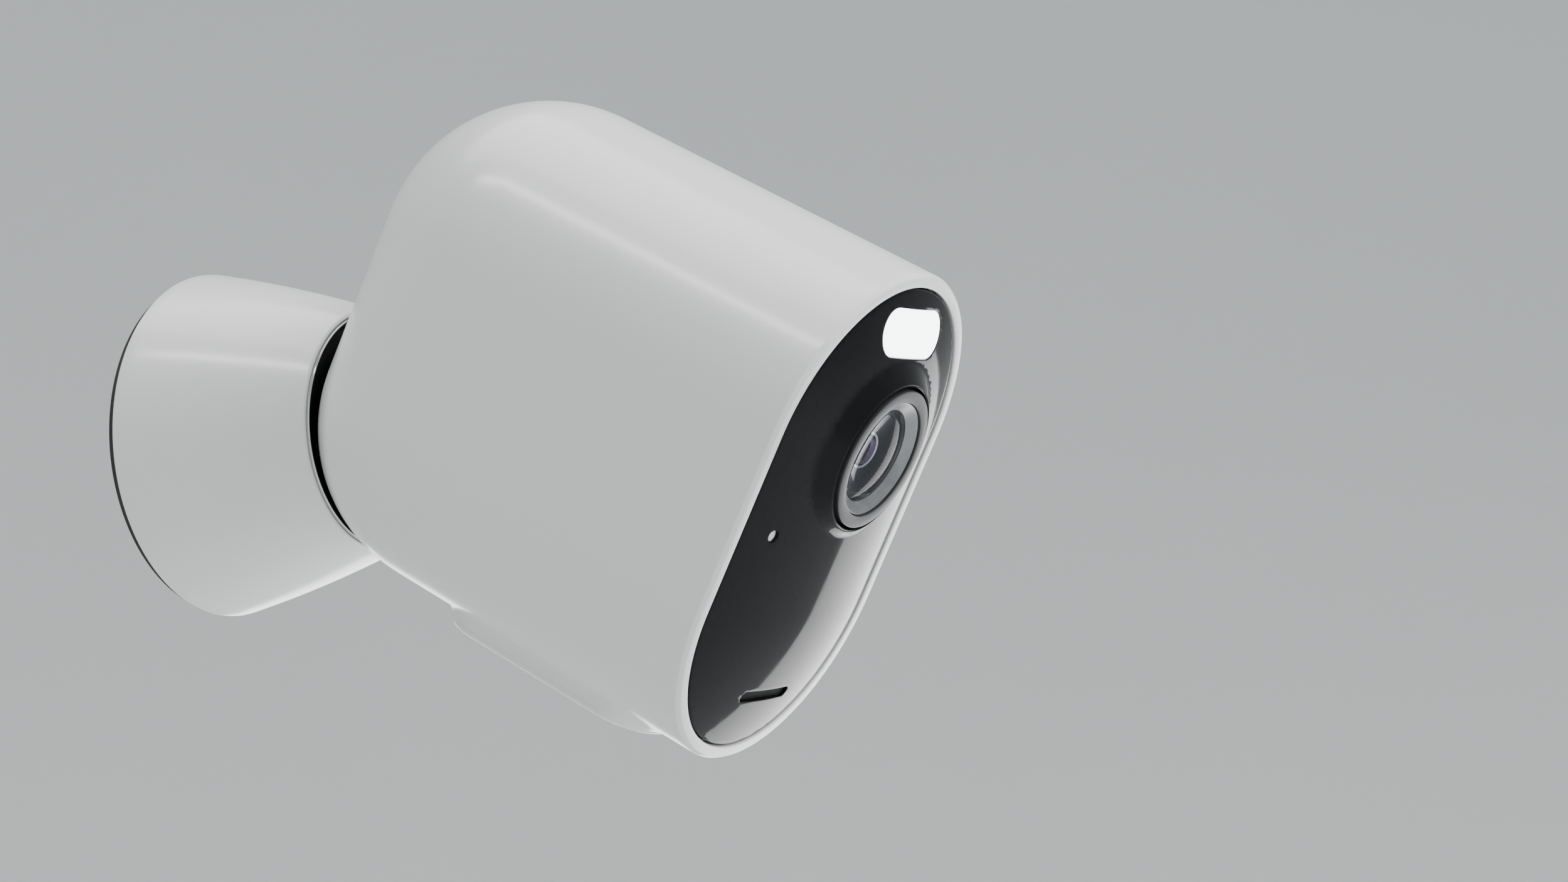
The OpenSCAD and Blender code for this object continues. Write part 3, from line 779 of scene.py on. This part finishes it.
# %% [markdown]
# ## Floor, backdrop and light
# A pale floor sweeps up into a pale backdrop, so no corner shows. It lies half a metre down, because
# the part hangs on a wall and can be seen from below. One panel lies flat below the nose and shines
# up, and its reflection is the soft bright shape on the right of the face. A narrow strip high on the
# viewer's side draws the line along the flank. Broad soft lamps fill the rest. Two of them are left
# out of reflections, because the collar round the lens would mirror them as pale squares.

# %% Stage and lights
FLOOR, PANEL_HEIGHT = -0.5, -0.066
FLAT_RADIUS, SWEEP_RADIUS, BACKDROP_TOP = 0.9, 1.3, 3.6
STAGE_CENTRE_Y = -0.06
AIM_AT = BALL + Vector((0, -0.03, 0.01))
SKY, SKY_STRENGTH = (0.80, 0.83, 0.85, 1), 0.36


def sweep_backdrop():
    bm = bmesh.new()
    bend = [(FLAT_RADIUS + SWEEP_RADIUS * math.sin(a), SWEEP_RADIUS - SWEEP_RADIUS * math.cos(a))
            for a in [math.radians(9 * n) for n in range(1, 11)]]
    profile = [(0, 0), (FLAT_RADIUS, 0)] + bend + [(FLAT_RADIUS + SWEEP_RADIUS, BACKDROP_TOP)]
    points = [bm.verts.new((r, 0, up)) for r, up in profile]
    wire = [bm.edges.new(pair) for pair in zip(points, points[1:])]
    bmesh.ops.spin(bm, geom=points + wire, cent=(0, 0, 0), axis=(0, 0, 1), angle=2 * math.pi,
                   steps=96, use_merge=True)
    bmesh.ops.remove_doubles(bm, verts=bm.verts, dist=1e-5)
    bmesh.ops.translate(bm, verts=bm.verts, vec=(0, STAGE_CENTRE_Y, FLOOR))
    mesh = bpy.data.meshes.new("backdrop")
    bm.to_mesh(mesh)
    bm.free()
    mesh.shade_smooth()
    floor = bpy.data.objects.new("backdrop", mesh)
    bpy.context.collection.objects.link(floor)
    f = Finish("backdrop_paper")
    paper = f.colour_mix(f.noise(3, 3), tone(0.80, 0.82, 0.82), tone(0.84, 0.86, 0.86))
    mesh.materials.append(f.surface(Base_Color=paper, Roughness=0.9))


def area_lamp(name, size, power, place, mirrored=True):
    """A flat lamp that the viewer never sees, and that polished parts may be told not to mirror."""
    data = bpy.data.lights.new(name, "AREA")
    data.shape, data.energy = "RECTANGLE", power
    data.size, data.size_y = size
    made = bpy.data.objects.new(name, data)
    made.matrix_world = place
    made.visible_camera = False
    made.visible_glossy = mirrored
    bpy.context.collection.objects.link(made)


def lamp(name, direction, distance, size, power, mirrored=True):
    """A lamp that faces the camera body from an azimuth and elevation in degrees."""
    azimuth, elevation = (math.radians(v) for v in direction)
    way = Vector((math.cos(azimuth) * math.cos(elevation), math.sin(azimuth) * math.cos(elevation),
                  math.sin(elevation)))
    turn = way.to_track_quat("Z", "Y").to_matrix().to_4x4()
    area_lamp(name, size, power, Matrix.Translation(AIM_AT + way * distance) @ turn, mirrored)


def low_panel(size, turn, near_corner, power):
    """A lamp that lies flat below the nose and shines up."""
    spin = Matrix.Rotation(math.radians(turn), 4, "Z")
    middle = Vector((*near_corner, PANEL_HEIGHT)) + spin @ Vector((size[0] / 2, size[1] / 2, 0))
    face_up = Matrix.Rotation(math.pi, 4, "X")
    area_lamp("low_panel", size, power, Matrix.Translation(middle) @ spin @ face_up)


sweep_backdrop()
lamp("key_high", (-62, 46), 1.0, (0.6, 0.6), 12, mirrored=False)
lamp("flank_strip", (168, 56), 0.9, (0.5, 0.07), 2.2)
lamp("near_fill", (-150, 12), 1.4, (1.0, 0.8), 1.6)
lamp("front_soft", (-84, 2), 1.0, (0.5, 0.4), 4.5, mirrored=False)
lamp("top_soft", (70, 78), 1.3, (1.0, 1.0), 9)
low_panel((0.48, 0.40), -24.5, (0.010, -0.095), 2.2)
world = bpy.data.worlds.new("studio")
world.use_nodes = True
sky = world.node_tree.nodes["Background"].inputs
sky["Color"].default_value, sky["Strength"].default_value = SKY, SKY_STRENGTH
bpy.context.scene.world = world
print("lamps:", len(bpy.data.lights), "floor at", FLOOR, "m")

# %% [markdown]
# ## The viewpoint
# The viewer stands level with the camera, beside its right flank and a little in front. The lens is
# a short telephoto, close in, and the picture leans by a few degrees.

# %% Camera
AZIMUTH, ELEVATION, LEAN = (math.radians(v) for v in (-61.6, -2.04, -3.84))
AWAY, RIGHTWARDS, UPWARDS = 0.4881, 0.0461, -0.0048
FOCAL_MM, SENSOR_MM = 71.98, 36
back = Vector((math.sin(AZIMUTH) * math.cos(ELEVATION), -math.cos(AZIMUTH) * math.cos(ELEVATION),
               math.sin(ELEVATION)))
right = Vector((math.cos(AZIMUTH), math.sin(AZIMUTH), 0))
upward = back.cross(right)
spot = BALL + back * AWAY + right * RIGHTWARDS + upward * UPWARDS
leaned_right = right * math.cos(LEAN) + upward * math.sin(LEAN)
leaned_up = upward * math.cos(LEAN) - right * math.sin(LEAN)
facing = Matrix((leaned_right, leaned_up, back)).transposed().to_4x4()
eye = bpy.data.objects.new("viewpoint", bpy.data.cameras.new("viewpoint"))
eye.data.lens, eye.data.sensor_width = FOCAL_MM, SENSOR_MM
eye.matrix_world = Matrix.Translation(spot) @ facing
bpy.context.collection.objects.link(eye)
bpy.context.scene.camera = eye
print("viewpoint:", [round(v, 4) for v in spot])
